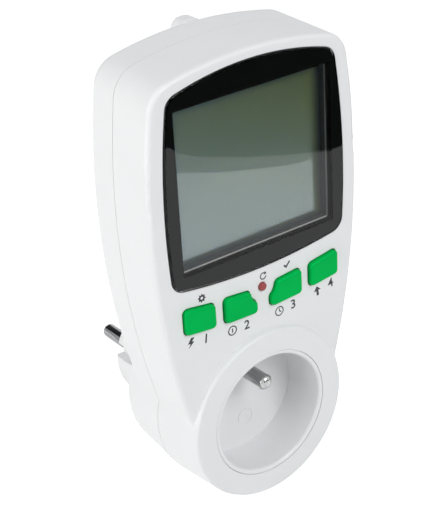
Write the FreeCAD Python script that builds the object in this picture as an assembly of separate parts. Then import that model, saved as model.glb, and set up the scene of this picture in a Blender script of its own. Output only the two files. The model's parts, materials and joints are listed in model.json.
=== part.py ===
import FreeCAD, Part
import math
import os

# Plug-in energy meter: a tapered housing with a display, four keys and a socket in front,
# and a plug behind. Millimetres. x runs to the right seen from the front, y runs back
# towards the wall, z runs up. The origin is the centre of the socket's rim, on the axis
# that the socket and the plug share.

# Housing outline seen from the front: an arched top, bowed sides and a narrow lower end
housing = dict(
    half_width=37.5, wide_z=72.5, side_r=235.0,
    top_z=117.8, top_r=125.0, top_corner_r=9.5,
    bottom_z=-5.0, bottom_r=200.0, bottom_corner_r=3.0,
)
top_rise = 1.4
wall = 2.2
front_edge_r = 1.4
back_edge_r = 3.5

# Depths along y
face_y = 1.8
seam_y = 18.5
back_y = 31.0
drum_back_y = 38.5
plug_face_y = 58.5
seam_gap = 0.15

# Drum round the socket and the plug
rim_r = 28.3
drum_seam_r = 29.6
drum_back_r = 27.8
rim_edge_r = 0.9
drum_back_edge_r = 2.5
rim_wall = 2.4

# Overlapping lip between the two shells
lip_depth = 1.6
lip_slip = 0.15
lip_end_gap = 0.2

# Clearances, and how far a cut runs past the face that it leaves or a piece into what carries it
slip = 0.15
key_gap = 0.35
key_rest_gap = 0.3
board_gap = 1.0
skin = 0.05
hole_gap = 0.2
post_gap = 0.4
over = 1.0
root = 0.5
far = 200.0

# Rest foot behind the top edge
foot_half_width = 4.1
foot_rise = 0.1
foot_start = 1.2
foot_reach = 3.6
foot_height = 9.0
foot_crown_r = 3.4
foot_end_r = 1.0

# Display lens, its printed border and its window
lens = dict(
    half_width=32.3, wide_z=73.5, side_r=230.0,
    top_z=114.6, top_r=98.0, top_corner_r=4.8,
    bottom_z=49.9, bottom_r=180.0, bottom_corner_r=4.6,
)
lens_proud = 0.35
lens_thickness = 1.5
lens_edge_r = 0.4
border_thickness = 0.25
window_half_width = 26.8
window_z0 = 57.4
window_z1 = 105.8
window_corner_r = 0.6

# Liquid crystal display and the well that holds it
well_wall = 1.2
well_depth = 3.0
glass_margin = 1.7
glass_thickness = 2.1
polariser_thickness = 0.3
reflector_thickness = 0.4
frame_wall = 1.0
frame_flange = 1.7
polariser_inset = 0.4
reflector_margin = 1.2
foam_inset = 1.0
foam_corner_r = 1.5
strip_gap = 0.6
strip_z = 56.7
strip_width = 1.6
strip_length = 50.0

# Display board
board_y = 11.2
board_thickness = 1.6
board_z0 = 31.0
board_z1 = 109.0
board_post_r = 1.9
board_post_inset = 5.7
board_rib_half = 0.5
board_rib_drop = 2.0
board_head_r = 1.9
board_head = 1.2
board_screw_end = 1.5
board_post_z = (57.0, 98.0)
board_screw_r = 0.9

# Keys: corner points of the right half, seen from the front; the left half mirrors them
outer_key = ((17.8, 37.1), (28.65, 38.3), (28.7, 46.4), (17.85, 44.8))
inner_key = ((2.6, 36.2), (14.4, 36.7), (14.4, 44.8), (2.6, 43.7))
outer_key_post = (23.2, 41.8)
inner_key_post = (9.0, 40.5)
key_corner_r = 1.4
key_edge_r = 0.8
key_proud = 1.5
key_travel = 1.0
key_flange = 0.9
key_flange_thickness = 1.0
key_post_r = 3.4
pill_r = 2.0
pill_thickness = 1.0
dome_flare = 1.2
dome_wall = 0.5
mat_thickness = 1.0
mat_half_width = 30.0
mat_z0 = 32.6
mat_z1 = 51.0
mat_corner_r = 2.0

# Reset button
reset_z = 43.7
reset_r = 1.3
reset_proud = 0.9
reset_edge_r = 0.45
reset_flange_r = 2.1
reset_post_r = 1.5
reset_pill_r = 1.0
reset_clear_r = 4.8

# Socket insert: the standard round recess with an earth pin
recess_r = 19.5
recess_depth = 15.0
insert_r = 21.0
insert_lip_r = 0.9
insert_edge_r = 0.35
insert_slip = 0.08
insert_floor = 2.5
insert_flange_r = 23.6
insert_flange = 1.8
insert_skirt_y = 24.0
pin_spacing = 19.0
pin_hole_r = 2.75
earth_z = 10.0
earth_pin_r = 2.4
earth_pin_length = 14.0
pin_neck = 0.5
pin_shank_r = 2.1
earth_tip_r = 1.92
earth_collar = 1.2
earth_collar_length = 1.1
earth_tail_step = 0.6
mark_r = 2.8
mark_width = 0.25
mark_depth = 0.12
mark_x = 1.0
mark_z = -9.3

# Shutter behind the socket floor
shutter_gap = 0.3
shutter_thickness = 1.6
shutter_boss_r = 2.0
shutter_running = 0.05
shutter_hub_r = 4.2
shutter_wing_r = 13.4
shutter_wing_half_angle = 21.0
spring_r = 2.6
spring_width = 0.45
spring_height = 2.2
spring_leg = 1.0
spring_open = 50.0
pivot_head_r = 3.4
pivot_head = 0.8
pivot_shank_r = 0.9

# Contact carrier and contacts
carrier_y0 = 20.3
carrier_r = 19.4
carrier_back_y = 33.8
carrier_tail_r = 13.9
carrier_tail_y = 35.0
metal = 0.8
contact_width = 6.0
contact_base_y = 32.6
contact_pinch = 2.45
contact_mouth = 3.7
contact_shoulder = 3.3
contact_front_y = 21.2
contact_pass_r = 2.7
contact_bend_r = 0.4
strap_bend_r = 0.6
contact_grip_y = 27.0
contact_lead_y = 23.6
contact_gap = 0.3
chamber_half = 4.7
head_gap = 0.6
strap_foot_z = -3.2
strap_y = 35.2
strap_rise_inner_z = 20.2
strap_rise_outer_z = 22.0
strap_top_z = 38.0
strap_slot_half = 3.3

# Plug body, pins and earth parts
plug_r = 18.5
plug_cavity_r = 14.2
plug_face_wall = 3.0
plug_edge_r = 1.2
plug_flange_r = 24.0
plug_flange = 2.3
plug_pin_r = 2.4
plug_pin_length = 19.0
plug_tip_r = 1.8
pin_tail_r = 1.4
rivet_r = 2.2
rivet_head = 0.6
tower_wall = 2.0
tower_y = 38.3
groove_width = 4.4
groove_z = 4.1
groove_depth = 3.2
bracket_y = 37.1
bracket_half_width = 4.0
bracket_arm_z = 16.4
bracket_bow_z = 18.35
bracket_end_y = 55.5
pocket_floor_z = 16.0
clip_gap = 0.3
clip_web = 0.6
clip_end_gap = 0.8
sleeve_r = 3.3
sleeve_bore_r = 2.5
sleeve_end_y = 58.0
sleeve_mouth_r = 2.9
slit_half = 0.3
slit_start = 6.0
slit_end = 3.0

# Power board and its components
power_y = 24.5
power_thickness = 1.6
power_z0 = 33.0
power_z1 = 106.0
power_inset = 2.4
power_post_r = 2.2
power_post_inset = 8.8
power_post_z = (46.0, 96.0)

# Cases of the components on the power board: x, z and then their sizes
film_case = (-14.5, 54.0, 17.0, 8.0, 9.5)
can_case = (16.0, 54.5, 4.0, 9.6)
can_bead = 0.4
can_bead_y = 1.8
disc_case = (-8.4, 70.0, 4.6, 3.2)
disc_edge = 0.9
disc_stand_off = 1.2
disc_lead_half = 2.5
component_lead_r = 0.4
barrel_case = (-20.0, 80.0, 1.7, 8.0)
barrel_lead = 2.5
metering_case = (6.0, 80.0, 10.0, 5.6, 1.6)
metering_legs = 8
shunt_x = 18.5
shunt_z = 68.0
shunt_half = 6.0
shunt_foot = 4.0
shunt_rise = 3.4
shunt_deep = 3.6

# Cases of the components on the display board's back
driver_case = (-4.0, 84.0, 12.0, 7.0, 1.4)
driver_legs = 9
chip_stand_off = 0.2
chip_leg = 1.0
chip_leg_half = 0.25
chip_leg_rise = 0.6
crystal_case = (14.0, 83.5, 8.0, 3.0, 2.4)
battery_x = 0.0
battery_z = 98.0
cell_count = 3
cell_r = 4.6
cell_length = 5.0
cell_gap = 0.3
cell_step = 0.9

# Cable between the boards
cable_x = 3.0
cable_z = 66.0
cable_width = 12.0
cable_thickness = 0.9
cable_rise = 4.0
cable_bow = 3.0
cable_bend_r = 1.2
cable_stand_off = 1.2
header_side = 0.6
header_high = 4.0
header_deep = 2.4

# Housing screws: (x, z) of the right-hand ones; those in the drum sit further back
top_screw_inset = 17.3
top_screw_drop = 5.9
middle_screw_inset = 10.7
middle_screw_z = 24.6
drum_screw = (16.93, -16.93)
post_r = 2.9
drum_post_r = 2.6
tube_wall = 1.2
screw_head_r = 2.6
screw_head = 1.8
screw_shank_r = 1.35
screw_pilot = 0.05
screw_pass = 0.25
pilot_end = 1.5
screw_seat_y = 25.0
drum_seat_y = 28.0
screw_length = 17.8
screw_sink_r = 3.0

# Screw heads: the crown and the cross recess, as shares of the head's radius and height
head_crown = 0.8
cross_reach = 0.55
cross_width = 0.22
cross_depth = 0.5

# Values worked out from the ones above
lens_front_y = face_y - lens_proud
lens_back_y = lens_front_y + lens_thickness
border_front_y = lens_back_y + skin
border_back_y = border_front_y + border_thickness
inside_y = face_y + wall
board_post_x = housing["half_width"] - board_post_inset
power_post_x = housing["half_width"] - power_post_inset
top_screw = (housing["half_width"] - top_screw_inset, housing["top_z"] - top_screw_drop)
middle_screw = (housing["half_width"] - middle_screw_inset, middle_screw_z)
display_y = border_back_y + well_depth
glass_y = display_y + polariser_thickness
glass_back_y = glass_y + glass_thickness
board_back_y = board_y + board_thickness
mat_y = board_y - mat_thickness
pill_y = board_y - key_travel - key_rest_gap - pill_thickness
key_flange_y = inside_y + key_rest_gap
pin_x = pin_spacing / 2
floor_back_y = recess_depth + insert_floor
drum_wall_y = drum_back_y - wall
power_back_y = power_y + power_thickness
contact_tail_y = contact_base_y + metal
plug_tip_y = plug_face_y + plug_pin_length


def vec(x, y, z):
    return FreeCAD.Vector(x, y, z)


def rod(x, z, r, y0, y1):
    """Cylinder along y."""
    return Part.makeCylinder(r, y1 - y0, vec(x, y0, z), vec(0, 1, 0))


def tube(x, z, r_out, r_in, y0, y1):
    return rod(x, z, r_out, y0, y1).cut(rod(x, z, r_in, y0 - over, y1 + over))


def cone(x, z, r0, y0, r1, y1):
    """Cone along y, r0 at y0 and r1 at y1."""
    return Part.makeCone(r0, r1, y1 - y0, vec(x, y0, z), vec(0, 1, 0))


def block(x0, x1, y0, y1, z0, z1):
    return Part.makeBox(x1 - x0, y1 - y0, z1 - z0, vec(x0, y0, z0))


def edges_at(shape, y, reach=1e-3):
    """Edges that lie in the plane at y."""
    return [
        e for e in shape.Edges
        if abs(e.BoundBox.YMin - y) < reach and abs(e.BoundBox.YMax - y) < reach
    ]


def edges_along(shape, axis):
    """Straight edges along x, y or z, given as 0, 1 or 2."""
    found = []
    for edge in shape.Edges:
        if len(edge.Vertexes) != 2:
            continue
        span = edge.Vertexes[1].Point - edge.Vertexes[0].Point
        across = [abs(span[i]) for i in range(3) if i != axis]
        if max(across) < 1e-6 and abs(edge.Length - abs(span[axis])) < 1e-6:
            found.append(edge)
    return found


def rounded_block(x0, x1, y0, y1, z0, z1, r):
    """Block whose four edges along y are rounded."""
    body = block(x0, x1, y0, y1, z0, z1)
    return body.makeFillet(r, edges_along(body, 1))


def plate(points, y0, y1):
    """Flat plate between y0 and y1 with the outline given as (x, z) points."""
    corners = [vec(x, y0, z) for x, z in points]
    face = Part.Face(Part.makePolygon(corners + corners[:1]))
    return face.extrude(vec(0, y1 - y0, 0))


def turned(points):
    """Solid turned about the y axis from (radius, y) points."""
    corners = [vec(r, y, 0) for r, y in points]
    face = Part.Face(Part.makePolygon(corners + corners[:1]))
    return face.revolve(vec(0, 0, 0), vec(0, 1, 0), 360)


def mirrored(shape):
    return shape.mirror(vec(0, 0, 0), vec(1, 0, 0))


def union(shapes):
    return shapes[0].fuse(shapes[1:]).removeSplitter()


def strip(path, thickness, x0, x1, bend_r=0.5):
    """Bent strip: path is its centre line as (y, z) points, and it is as wide as x0 to x1."""
    half = thickness / 2
    near, far, turns = [], [], []
    for i, (y, z) in enumerate(path):
        before = path[max(i - 1, 0)]
        after = path[min(i + 1, len(path) - 1)]
        first = (y - before[0], z - before[1]) if i else (after[0] - y, after[1] - z)
        last = (after[0] - y, after[1] - z) if i < len(path) - 1 else first
        a = math.atan2(first[1], first[0])
        b = math.atan2(last[1], last[0])
        turn = (b - a + math.pi) % (2 * math.pi) - math.pi
        middle = a + turn / 2 + math.pi / 2
        reach = half / math.cos(turn / 2)
        near.append((y + reach * math.cos(middle), z + reach * math.sin(middle)))
        far.append((y - reach * math.cos(middle), z - reach * math.sin(middle)))
        turns.append(turn)
    corners = [vec(x0, y, z) for y, z in near + far[::-1]]
    body = Part.Face(Part.makePolygon(corners + corners[:1])).extrude(vec(x1 - x0, 0, 0))
    for i, turn in enumerate(turns):
        if abs(turn) < 0.1:
            continue
        inner, outer = (near[i], far[i]) if turn > 0 else (far[i], near[i])
        for (y, z), r in ((inner, bend_r), (outer, bend_r + thickness)):
            corner = vec((x0 + x1) / 2, y, z)
            edges = [e for e in edges_along(body, 0) if (e.CenterOfMass - corner).Length < 1e-4]
            body = body.makeFillet(r, edges)
    return body


def circles_meet(a, b, upper):
    """Crossing point of two circles (x, z, r) with the larger x, above or below their centres."""
    dx, dz = b[0] - a[0], b[1] - a[1]
    d = math.hypot(dx, dz)
    along = (a[2] ** 2 - b[2] ** 2 + d * d) / (2 * d)
    off = math.sqrt(a[2] ** 2 - along ** 2)
    foot_x, foot_z = a[0] + along * dx / d, a[1] + along * dz / d
    spots = [(foot_x - s * off * dz / d, foot_z + s * off * dx / d) for s in (1, -1)]
    return max(spots, key=lambda p: p[1]) if upper else min(spots, key=lambda p: p[1])


def on_circle(circle, towards):
    """Point of a circle in the direction of another point."""
    x, z, r = circle
    d = math.hypot(towards[0] - x, towards[1] - z)
    return (x + r * (towards[0] - x) / d, z + r * (towards[1] - z) / d)


def shield(s, grow, y0, y1):
    """Prism between y0 and y1 with an outline of tangent arcs, moved outwards by grow."""
    top = (0.0, s["top_z"] - s["top_r"], s["top_r"])
    side = (s["half_width"] - s["side_r"], s["wide_z"], s["side_r"])
    bottom = (0.0, s["bottom_z"] + s["bottom_r"], s["bottom_r"])
    corners = []
    for end, r, upper in ((top, s["top_corner_r"], True), (bottom, s["bottom_corner_r"], False)):
        inner_end = (end[0], end[1], end[2] - r)
        inner_side = (side[0], side[1], side[2] - r)
        corners.append(circles_meet(inner_end, inner_side, upper) + (r,))
    top, side, bottom = [(c[0], c[1], c[2] + grow) for c in (top, side, bottom)]
    right = []
    for end, corner in zip((top, bottom), corners):
        grown = (corner[0], corner[1], corner[2] + grow)
        start = on_circle(end, (end[0] + (corner[0] - end[0]) * 2, end[1] + (corner[1] - end[1]) * 2))
        finish = on_circle(side, (side[0] + (corner[0] - side[0]) * 2, side[1] + (corner[1] - side[1]) * 2))
        halfway = on_circle(grown, ((start[0] + finish[0]) / 2, (start[1] + finish[1]) / 2))
        right.append((start, halfway, finish))
    (t0, t1, t2), (b0, b1, b2) = right
    side_mid = on_circle(side, ((t2[0] + b2[0]) / 2, (t2[1] + b2[1]) / 2))
    crown = (0.0, top[1] + top[2])
    base = (0.0, bottom[1] - bottom[2])

    def arc(p, q, r):
        return Part.Arc(vec(p[0], y0, p[1]), vec(q[0], y0, q[1]), vec(r[0], y0, r[1])).toShape()

    def flip(p):
        return (-p[0], p[1])

    edges = [
        arc(flip(t0), crown, t0), arc(t0, t1, t2), arc(t2, side_mid, b2), arc(b2, b1, b0),
        arc(b0, base, flip(b0)), arc(flip(b0), flip(b1), flip(b2)),
        arc(flip(b2), flip(side_mid), flip(t2)), arc(flip(t2), flip(t1), flip(t0)),
    ]
    return Part.Face(Part.Wire(edges)).extrude(vec(0, y1 - y0, 0))


def housing_slice(inset, y0, y1):
    """Slice of the housing, moved in all round by inset; its top rises a little towards the back."""
    tall = dict(housing, top_z=housing["top_z"] + 3 * housing["top_corner_r"])
    body = shield(tall, -inset, y0, y1)
    slope = top_rise / (back_y - face_y)
    r0, r1 = [housing["top_r"] - inset + slope * (y - face_y) for y in (y0, y1)]
    body = body.common(cone(0, housing["top_z"] - housing["top_r"], r0, y0, r1, y1))
    corners = [
        e for e in body.Edges
        if e.BoundBox.YLength > 0.99 * (y1 - y0) and e.CenterOfMass.z > housing["wide_z"]
    ]
    return body.makeFillet(housing["top_corner_r"] - inset, corners)


def screw(x, z, head_y, tip_y, head_r, head, shank_r):
    """Screw along y from head_y to tip_y, with a tapered head, a cross recess and a point."""
    way = 1 if head_y > tip_y else -1
    seat_y = head_y - way * head
    point_y = tip_y + way * shank_r
    profile = [
        (0, head_y), (head_r * head_crown, head_y), (head_r, (head_y + seat_y) / 2), (head_r, seat_y),
        (shank_r, seat_y), (shank_r, point_y), (0, tip_y),
    ]
    body = turned(profile)
    body.translate(vec(x, 0, z))
    arm = head_r * cross_reach
    half = head_r * cross_width / 2
    low, high = sorted((head_y - way * head * cross_depth, head_y + way * over))
    cross = block(x - arm, x + arm, low, high, z - half, z + half)
    cross = cross.fuse(block(x - half, x + half, low, high, z - arm, z + arm))
    return body.cut(cross)


nodes = {}


# Keys, reset button, keypad mat, domes and pills


def key_prism(kind, grow, y0, y1):
    """Prism with a key's outline, moved outwards by grow and rounded at the corners."""
    body = plate(outer_key if kind == "outer" else inner_key, y0, y1)
    if kind == "inner":
        body = body.cut(rod(0, reset_z, reset_clear_r, y0 - over, y1 + over))
    body = body.makeFillet(key_corner_r, edges_along(body, 1))
    if grow == 0:
        return body
    outline = [f for f in body.Faces if abs(f.BoundBox.YMax - y0) < 1e-6][0].OuterWire
    return Part.Face(outline.makeOffset2D(grow)).extrude(vec(0, y1 - y0, 0))


def make_key(kind, post):
    top_y = face_y - key_proud
    cap = key_prism(kind, 0, top_y, key_flange_y + key_flange_thickness)
    cap = cap.makeFillet(key_edge_r, edges_at(cap, top_y))
    flange = key_prism(kind, key_flange, key_flange_y, key_flange_y + key_flange_thickness)
    foot = rod(post[0], post[1], key_post_r, key_flange_y + key_flange_thickness / 2, pill_y)
    return union([cap, flange, foot])


def make_dome(x, z, post_r, flare):
    """Cone between the foot of a key and the mat, thin enough to buckle."""
    y0 = pill_y - dome_wall * 2
    outer = cone(x, z, post_r + dome_wall + skin, y0, post_r + flare + dome_wall, mat_y)
    inner = cone(x, z, post_r + skin, y0, post_r + flare, mat_y)
    return outer.cut(inner)


sides = (("right", 1), ("left", -1))
key_holes = []
mat_holes = []
for kind, post in (("outer", outer_key_post), ("inner", inner_key_post)):
    hole = key_prism(kind, key_gap, face_y - over, inside_y + over)
    for side, way in sides:
        spot = (way * post[0], post[1])
        key = make_key(kind, post)
        nodes[f"key_{kind}_{side}"] = key if way > 0 else mirrored(key)
        nodes[f"pill_{kind}_{side}"] = rod(spot[0], spot[1], pill_r, pill_y, pill_y + pill_thickness)
        nodes[f"dome_{kind}_{side}"] = make_dome(spot[0], spot[1], key_post_r, dome_flare)
        key_holes.append(hole if way > 0 else mirrored(hole))
        mat_holes.append(rod(spot[0], spot[1], key_post_r + dome_flare, mat_y - over, board_y + over))

reset_top = rod(0, reset_z, reset_r, face_y - reset_proud, key_flange_y + root)
reset_top = reset_top.makeFillet(reset_edge_r, edges_at(reset_top, face_y - reset_proud))
nodes["reset_button"] = union([
    reset_top,
    rod(0, reset_z, reset_flange_r, key_flange_y, key_flange_y + key_flange_thickness),
    rod(0, reset_z, reset_post_r, key_flange_y + root, pill_y),
])
nodes["pill_reset"] = rod(0, reset_z, reset_pill_r, pill_y, pill_y + pill_thickness)
nodes["dome_reset"] = make_dome(0, reset_z, reset_post_r, dome_flare / 2)
mat_holes.append(rod(0, reset_z, reset_post_r + dome_flare / 2, mat_y - over, board_y + over))
reset_hole = rod(0, reset_z, reset_r + slip, face_y - over, inside_y + over)

mat = rounded_block(-mat_half_width, mat_half_width, mat_y, board_y, mat_z0, mat_z1, mat_corner_r)
nodes["keypad_mat"] = mat.cut(mat_holes)


# Display: lens, printed border, well, polariser, glass, reflector, foam pad, contact strip

lens_body = shield(lens, 0, lens_front_y, lens_back_y)
nodes["display_lens"] = lens_body.makeFillet(lens_edge_r, edges_at(lens_body, lens_front_y))


def window_block(grow, y0, y1):
    return rounded_block(
        -window_half_width - grow, window_half_width + grow, y0, y1,
        window_z0 - grow, window_z1 + grow, window_corner_r + max(grow, 0),
    )


border = shield(lens, -slip, border_front_y, border_back_y)
nodes["lens_border"] = border.cut(window_block(0, border_front_y - over, border_back_y + over))

frame_grow = glass_margin + slip + frame_wall
well = window_block(well_wall + slip, border_back_y, display_y)
flange = window_block(frame_grow, display_y - frame_flange, board_y)
pocket = window_block(glass_margin + slip, display_y, board_y + over)
opening = window_block(slip, border_back_y - over, board_y + over)
nodes["display_frame"] = union([well, flange]).cut([pocket, opening])
nodes["display_polariser"] = window_block(glass_margin - polariser_inset, display_y, glass_y)
nodes["display_glass"] = window_block(glass_margin, glass_y, glass_back_y)
reflector_z0 = strip_z + strip_width + strip_gap
reflector_half = window_half_width + reflector_margin
reflector_back_y = glass_back_y + reflector_thickness
nodes["display_reflector"] = rounded_block(
    -reflector_half, reflector_half, glass_back_y, reflector_back_y,
    reflector_z0, window_z1 + reflector_margin, window_corner_r,
)
foam_half = window_half_width - foam_inset
nodes["foam_pad"] = rounded_block(
    -foam_half, foam_half, reflector_back_y, board_y,
    reflector_z0 + foam_inset, window_z1 - foam_inset, foam_corner_r,
)
nodes["contact_strip"] = block(
    -strip_length / 2, strip_length / 2, glass_back_y, board_y,
    strip_z - strip_width / 2, strip_z + strip_width / 2,
)


# Boards follow the housing's outline

def board(inset, y0, y1, z0, z1):
    body = housing_slice(wall + inset, y0, y1)
    return body.common(block(-far, far, y0 - over, y1 + over, z0, z1))


board_posts = [(s * board_post_x, z) for s in (1, -1) for z in board_post_z]
body_screws = [(s * x, z) for x, z in (top_screw, middle_screw) for s in (1, -1)]
drum_screws = [(s * drum_screw[0], drum_screw[1]) for s in (1, -1)]
display_board = board(board_gap, board_y, board_back_y, board_z0, board_z1)
board_holes = [(x, z, board_screw_r + hole_gap) for x, z in board_posts]
board_holes += [(x, z, post_r + post_gap) for x, z in body_screws]
nodes["display_board"] = display_board.cut([
    rod(x, z, r, board_y - over, board_back_y + over) for x, z, r in board_holes
])

board_screw_tip_y = inside_y + board_screw_end
nodes["display_board_screws"] = Part.makeCompound([
    screw(x, z, board_back_y + board_head, board_screw_tip_y, board_head_r, board_head, board_screw_r)
    for x, z in board_posts
])


# Front shell

def drum_front(r_change, y0, y1):
    slope = (drum_seam_r - rim_r) / seam_y
    return cone(0, 0, rim_r + slope * y0 + r_change, y0, rim_r + slope * y1 + r_change, y1)


def drum_rear(r_change, y0, y1):
    slope = (drum_back_r - drum_seam_r) / (drum_back_y - seam_y)
    start = drum_seam_r + slope * (y0 - seam_y)
    finish = drum_seam_r + slope * (y1 - seam_y)
    return cone(0, 0, start + r_change, y0, finish + r_change, y1)


front_end_y = seam_y - seam_gap / 2
rear_start_y = seam_y + seam_gap / 2
face_body = housing_slice(0, face_y, front_end_y)
face_body = face_body.makeFillet(front_edge_r, edges_at(face_body, face_y))
rim_body = drum_front(0, 0, front_end_y)
rim_body = rim_body.makeFillet(rim_edge_r, edges_at(rim_body, 0))
front = face_body.fuse(rim_body)

front_cavity = housing_slice(wall, inside_y, front_end_y + over)
front = front.cut(front_cavity.fuse(drum_front(-wall, rim_wall, front_end_y + over)))

rebate_y = seam_y - lip_depth - lip_end_gap
rebate = housing_slice(wall / 2, rebate_y, front_end_y + over)
front = front.cut(rebate.fuse(drum_front(-wall / 2, rebate_y, front_end_y + over)))

lens_seat = shield(lens, slip, face_y - over, border_back_y)
well_hole = window_block(well_wall + 2 * slip, border_back_y - over, inside_y + over)
insert_hole = rod(0, 0, insert_r + insert_slip, -over, rim_wall + over)
front = front.cut([lens_seat, well_hole, insert_hole, reset_hole] + key_holes)

front_core = housing_slice(wall / 2 + lip_slip, inside_y - root, rebate_y)
posts = []
drum_post_end_y = insert_skirt_y + post_gap


def screw_post(x, z, r, start_y, end_y, tip_y):
    """Post that a housing screw cuts its thread into."""
    pilot = rod(x, z, screw_shank_r + screw_pilot, tip_y - pilot_end, end_y + over)
    return rod(x, z, r, start_y, end_y).cut(pilot)


for x, z in body_screws:
    tip_y = screw_seat_y + screw_head - screw_length
    posts.append(screw_post(x, z, post_r, inside_y - root, front_end_y, tip_y))
for x, z in board_posts:
    post = rod(x, z, board_post_r, inside_y - root, board_y)
    rib_x = sorted((x, math.copysign(far, x)))
    rib = block(*rib_x, inside_y - root, board_y - board_rib_drop, z - board_rib_half, z + board_rib_half)
    post = post.fuse(rib.common(front_core))
    pilot = rod(x, z, board_screw_r + screw_pilot, board_screw_tip_y - root, board_y + over)
    posts.append(post.cut(pilot))
shell_room = housing_slice(wall / 2 + lip_slip, face_y + wall / 2, front_end_y + over)
shell_room = shell_room.fuse(drum_front(-wall / 2 - lip_slip, rim_wall / 2, front_end_y + over))
posts = [p.common(shell_room) for p in posts]
for x, z in drum_screws:
    tip_y = drum_seat_y + screw_head - screw_length
    posts.append(screw_post(x, z, drum_post_r, rim_wall - root, drum_post_end_y, tip_y))
front = front.fuse(posts).removeSplitter()
nodes["front_shell"] = front


# Socket insert, shutter, pivot screw and spring

insert = turned([
    (0, recess_depth), (recess_r, recess_depth), (recess_r, 0), (insert_r, 0),
    (insert_r, rim_wall + skin), (insert_flange_r, rim_wall + skin),
    (insert_flange_r, rim_wall + skin + insert_flange), (insert_r, rim_wall + skin + insert_flange),
    (insert_r, insert_skirt_y), (carrier_r + slip, insert_skirt_y), (carrier_r + slip, floor_back_y),
    (0, floor_back_y),
])
for r, edge_r in ((recess_r, insert_lip_r), (insert_r, insert_edge_r)):
    insert = insert.makeFillet(edge_r, [e for e in edges_at(insert, 0) if abs(e.BoundBox.XMax - r) < skin])
shutter_y0 = floor_back_y + shutter_gap
shutter_y1 = shutter_y0 + shutter_thickness
spring_y = shutter_y1 + skin
spring_end_y = spring_y + spring_height + skin
insert = insert.fuse(rod(0, 0, shutter_boss_r, floor_back_y - root, spring_end_y))
insert_holes = [rod(s * pin_x, 0, pin_hole_r, recess_depth - over, floor_back_y + over) for s in (1, -1)]
insert_holes.append(rod(0, earth_z, pin_shank_r + skin, recess_depth - over, floor_back_y + over))
insert_holes.append(rod(0, 0, pivot_shank_r + screw_pilot, floor_back_y, spring_end_y + over))
mark_ring = (mark_r, mark_r - mark_width)
insert_holes.append(tube(mark_x, mark_z, *mark_ring, recess_depth - over, recess_depth + mark_depth))
for x, z in drum_screws:
    insert_holes.append(rod(x, z, drum_post_r + post_gap, rim_wall, rim_wall + insert_flange + over))
nodes["socket_insert"] = insert.cut(insert_holes).removeSplitter()


def sector(r0, r1, mid, half, y0, y1):
    """Ring sector about the y axis; angles in degrees from +x towards +z."""
    a, b = math.radians(mid - half), math.radians(mid + half)
    m = math.radians(mid)

    def at(r, t):
        return vec(r * math.cos(t), y0, r * math.sin(t))

    wire = Part.Wire([
        Part.LineSegment(at(r0, a), at(r1, a)).toShape(),
        Part.Arc(at(r1, a), at(r1, m), at(r1, b)).toShape(),
        Part.LineSegment(at(r1, b), at(r0, b)).toShape(),
        Part.Arc(at(r0, b), at(r0, m), at(r0, a)).toShape(),
    ])
    return Part.Face(wire).extrude(vec(0, y1 - y0, 0))


hub = rod(0, 0, shutter_hub_r, shutter_y0, shutter_y1)
wings = [
    sector(shutter_hub_r - over, shutter_wing_r, mid, shutter_wing_half_angle, shutter_y0, shutter_y1)
    for mid in (0, 180)
]
bore = rod(0, 0, shutter_boss_r + shutter_running, shutter_y0 - over, shutter_y1 + over)
nodes["shutter"] = union([hub] + wings).cut(bore)

# Torsion spring: a flat strip bent round the boss, open at the bottom, with two legs
spring_spread = 180 - spring_open / 2
spring = sector(spring_r, spring_r + spring_width, 90, spring_spread, spring_y, spring_y + spring_height)
legs = []
for s in (1, -1):
    leg = block(0, spring_leg, spring_y, spring_y + spring_height, -spring_width / 2, spring_width / 2)
    leg.translate(vec(spring_r + spring_width / 2, 0, 0))
    leg.rotate(vec(0, 0, 0), vec(0, 1, 0), -90 + s * spring_spread)
    legs.append(leg)
nodes["shutter_spring"] = union([spring] + legs)

nodes["pivot_screw"] = screw(
    0, 0, spring_end_y + pivot_head, floor_back_y + over, pivot_head_r, pivot_head, pivot_shank_r,
)


# Contact carrier, contacts and straps

carrier = rod(0, 0, carrier_r, carrier_y0, carrier_back_y)
carrier = carrier.fuse(rod(0, 0, carrier_tail_r, carrier_back_y - over, carrier_tail_y))
half = contact_width / 2
chamber = half + contact_gap
room_end_y = contact_tail_y + hole_gap
cuts = [rod(0, 0, pivot_head_r + head_gap, carrier_y0 - over, spring_end_y + pivot_head + head_gap)]
cuts.append(rod(0, earth_z, pin_shank_r + slip, carrier_y0 - over, carrier_tail_y + over))
for s in (1, -1):
    x = s * pin_x
    cuts.append(block(x - chamber, x + chamber, carrier_y0 - over, room_end_y, -chamber_half, chamber_half))
    cuts.append(rod(x, 0, contact_pass_r, contact_tail_y, carrier_tail_y + over))
    slot_top = carrier_r + over
    cuts.append(block(x - chamber, x + chamber, contact_base_y - hole_gap, room_end_y, 0, slot_top))
nodes["contact_carrier"] = carrier.cut(cuts)

centre = metal / 2
arm = [
    (contact_base_y + centre, 0), (contact_base_y + centre, contact_shoulder),
    (contact_grip_y, contact_pinch + centre), (contact_lead_y, contact_pinch + centre),
    (contact_front_y, contact_mouth),
]
lower_arm = strip([(y, -z) for y, z in arm], metal, -half, half, contact_bend_r)
upper_arm = strip(arm[1:], metal, -half, half, contact_bend_r)
contact_rise = strip([
    (contact_base_y + centre, 0), (contact_base_y + centre, strap_rise_inner_z),
    (power_y - centre, strap_rise_inner_z), (power_y - centre, strap_top_z),
], metal, -half, half, strap_bend_r)
contact = union([lower_arm, contact_rise, upper_arm])
contact = contact.cut(rod(0, 0, contact_pass_r, contact_base_y - over, contact_tail_y + over))
pin_strap = strip([
    (strap_y + centre, strap_foot_z), (strap_y + centre, strap_rise_outer_z),
    (power_back_y + centre, strap_rise_outer_z), (power_back_y + centre, strap_top_z),
], metal, -half, half, strap_bend_r)
pin_strap = pin_strap.cut(rod(0, 0, pin_tail_r + skin, strap_y - over, strap_y + metal + over))
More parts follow.
